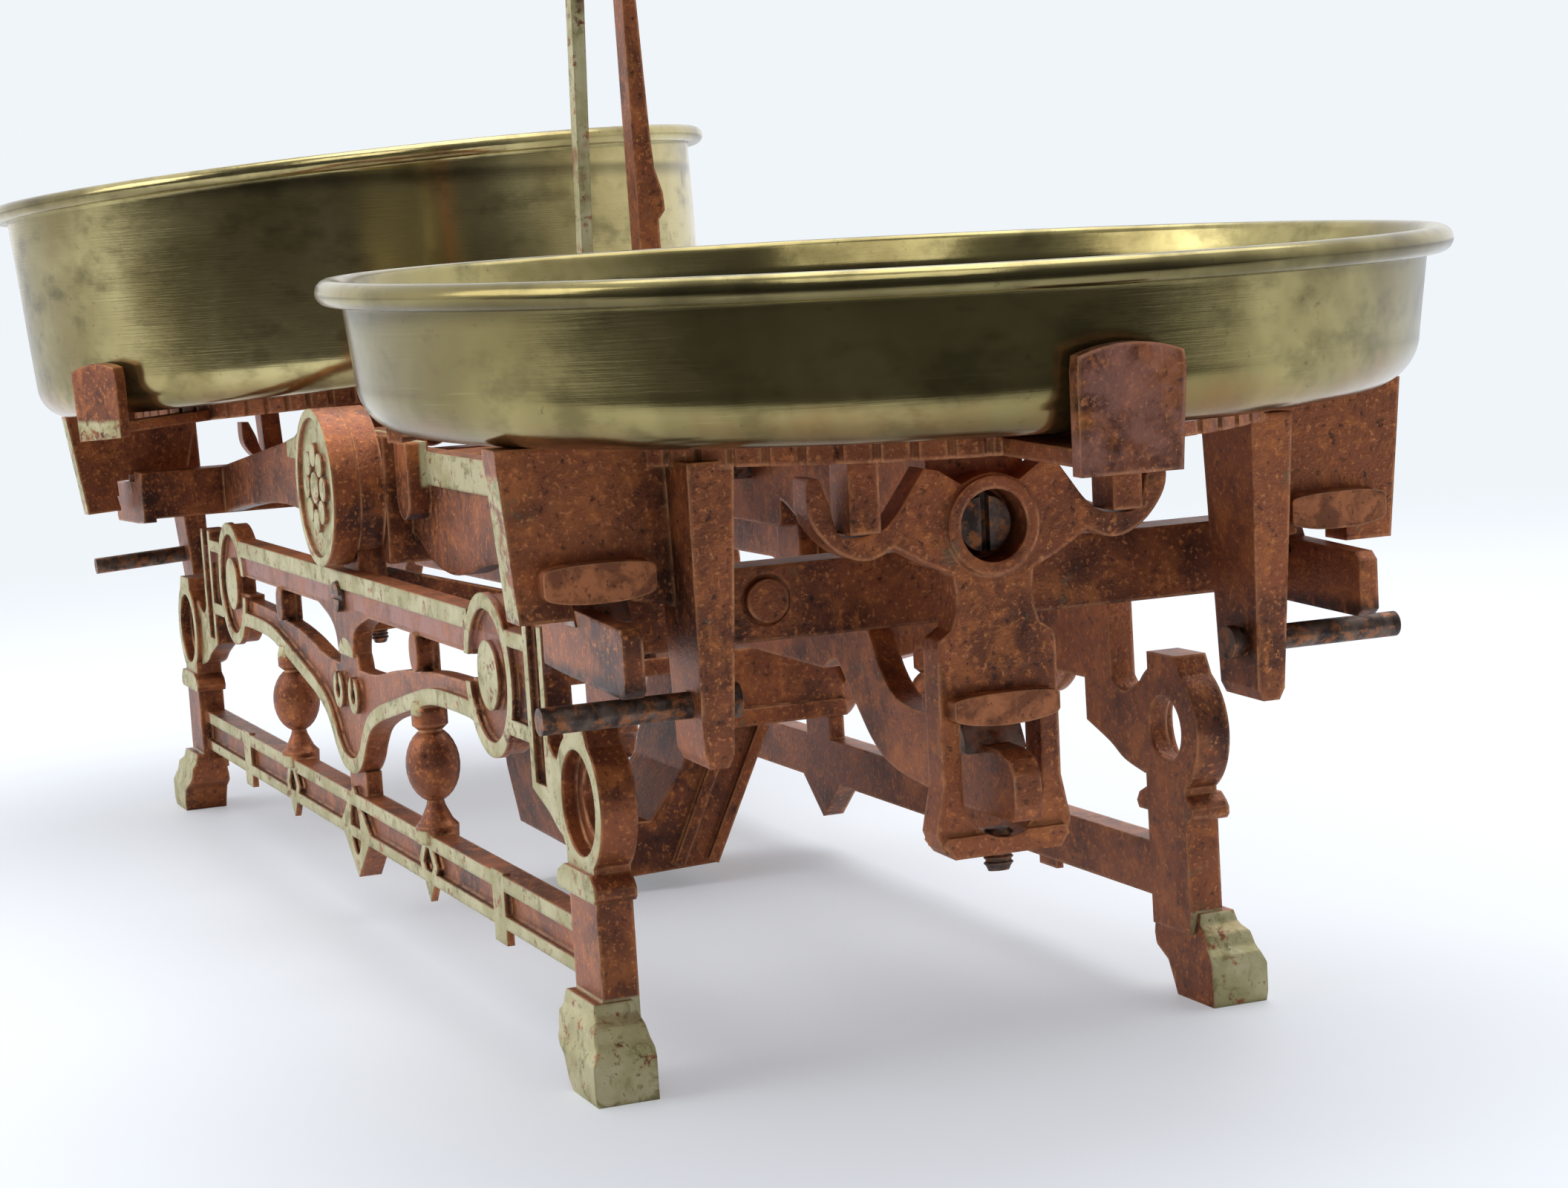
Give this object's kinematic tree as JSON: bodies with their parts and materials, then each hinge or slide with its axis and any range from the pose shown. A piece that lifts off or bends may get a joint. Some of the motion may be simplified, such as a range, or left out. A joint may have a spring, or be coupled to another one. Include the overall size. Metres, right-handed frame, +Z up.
{
  "type": "double beam counter scale",
  "caption": "Open counter scale with a knife-edge beam, stabilised pan carriers, lift-off brass pans and a pierced cast base.",
  "frame": {"origin": "on the floor in the middle of the base, under the centre knife edge", "axes": "+X along the beam to the end with the shallow pan, +Z up, -Y to the front side frame"},
  "size_m": [0.5616, 0.2043, 0.235],
  "materials": {
    "frame_paint": "old copper brown paint on cast iron, worn, with pale gold on the ribs and feet",
    "carrier_paint": "old copper brown paint, worn along the edges",
    "bare_iron": "dark oiled iron",
    "knife_steel": "hard steel, stained",
    "pale_gold_paint": "pale gold paint with a green cast, worn",
    "bronze_bearing": "hardened bearing iron, painted over",
    "pan_brass": "spun brass with old tarnish"
  },
  "bodies": {
    "base": {"front_side_frame": "frame_paint", "rear_side_frame": "frame_paint", "centre_bridge": "frame_paint", "bridge_bolts": "bare_iron", "fulcrum_bearings": "knife_steel", "lever_bearings": "knife_steel", "fixed_pointer": "pale_gold_paint", "fixed_pointer_screw": "bare_iron"},
    "beam": {"main_beam": "carrier_paint", "fulcrum_knives": "knife_steel", "near_end_knives": "knife_steel", "far_end_knives": "knife_steel", "front_hub_cover": "pale_gold_paint", "rear_hub_cover": "pale_gold_paint", "adjusting_plugs": "carrier_paint", "beam_pointer": "carrier_paint", "beam_pointer_screw": "bare_iron"},
    "near_lever": {"near_lever": "carrier_paint", "near_lever_knives": "knife_steel"},
    "far_lever": {"far_lever": "carrier_paint", "far_lever_knives": "knife_steel"},
    "near_carrier": {"near_carrier": "carrier_paint", "near_carrier_bearings": "bronze_bearing", "near_keeper_pins": "bare_iron", "near_link": "carrier_paint", "near_link_bearing": "bronze_bearing", "near_link_screw": "bare_iron", "near_stop_screw": "bare_iron"},
    "far_carrier": {"far_carrier": "carrier_paint", "far_carrier_bearing": "bronze_bearing", "far_keeper_pins": "bare_iron", "far_link": "carrier_paint", "far_link_bearing": "bronze_bearing", "far_link_screw": "bare_iron", "far_stop_screw": "bare_iron"},
    "near_pan": {"shallow_pan": "pan_brass"},
    "far_pan": {"deep_pan": "pan_brass"}
  },
  "joints": [
    {"name": "beam_swing", "type": "hinge", "parent": "base", "child": "beam", "pos_m": [0, 0, 0.092], "axis": [0, 1, 0], "range_deg": [-2.5, 2.5]},
    {"name": "near_carrier_pivot", "type": "hinge", "parent": "beam", "child": "near_carrier", "pos_m": [0.204, 0, 0.09058], "axis": [0, 1, 0], "range_deg": [-2.5, 2.5]},
    {"name": "far_carrier_pivot", "type": "hinge", "parent": "beam", "child": "far_carrier", "pos_m": [-0.204, 0, 0.09342], "axis": [0, 1, 0], "range_deg": [-2.5, 2.5]},
    {"name": "near_lever_swing", "type": "hinge", "parent": "base", "child": "near_lever", "pos_m": [0.012, 0, 0.0649], "axis": [0, 1, 0], "range_deg": [-2.5, 2.5]},
    {"name": "far_lever_swing", "type": "hinge", "parent": "base", "child": "far_lever", "pos_m": [-0.012, 0, 0.0649], "axis": [0, 1, 0], "range_deg": [-2.5, 2.5]},
    {"name": "shallow_pan_lift", "type": "slide", "parent": "near_carrier", "child": "near_pan", "axis": [0.0297, 0, 0.9996], "range_m": [0, 0.03]},
    {"name": "deep_pan_lift", "type": "slide", "parent": "far_carrier", "child": "far_pan", "axis": [-0.0262, -0.0541, 0.9982], "range_m": [0, 0.03]}
  ],
  "couplings": [
    {"joint": "near_carrier_pivot", "follows": "beam_swing", "ratio": -1},
    {"joint": "far_carrier_pivot", "follows": "beam_swing", "ratio": -1},
    {"joint": "near_lever_swing", "follows": "beam_swing", "ratio": 1},
    {"joint": "far_lever_swing", "follows": "beam_swing", "ratio": 1}
  ]
}
